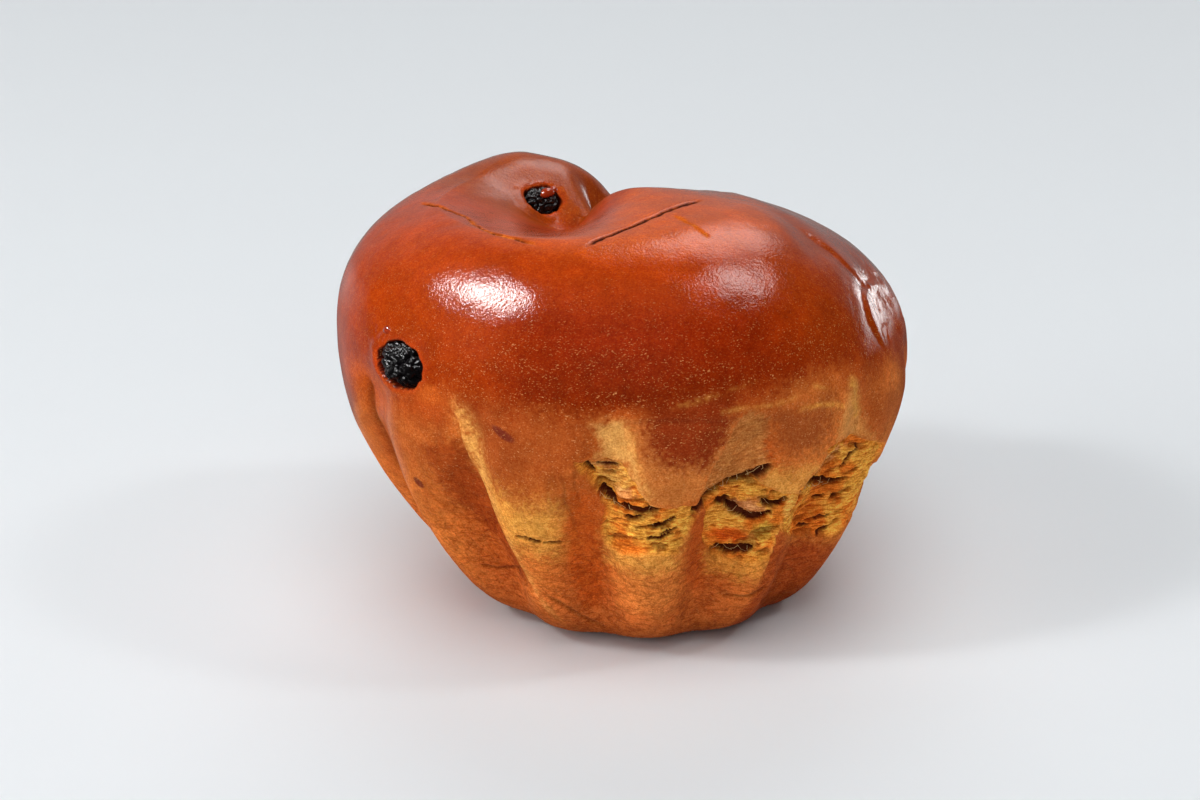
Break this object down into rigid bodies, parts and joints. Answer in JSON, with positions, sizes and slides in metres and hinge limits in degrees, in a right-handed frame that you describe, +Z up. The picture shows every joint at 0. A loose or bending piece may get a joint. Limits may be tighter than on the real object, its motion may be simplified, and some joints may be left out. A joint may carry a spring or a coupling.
{
  "type": "mini kugelhopf",
  "caption": "Small domed sweet loaf with a fluted foot, a torn belly, a dimpled glossy top and raisins set in the crust; stands on its flat underside.",
  "frame": {"origin": "middle of the flat underside, at the bottom centre of the part's box", "axes": "+Z up out of the dome; -Y is the front that shows the torn belly; +X to the right"},
  "size_m": [0.1115, 0.1003, 0.0817],
  "materials": {
    "crust": "baked crust: egg-glazed red-brown dome, matt tan flutes",
    "crumb": "torn yellow crumb, fibrous and matt",
    "raisin": "black wrinkled raisin skin, sticky gloss",
    "glaze": "set drops of amber egg glaze"
  },
  "bodies": {
    "root": {"loaf": "crust", "raisin_side": "raisin", "raisin_top": "raisin"}
  },
  "joints": []
}
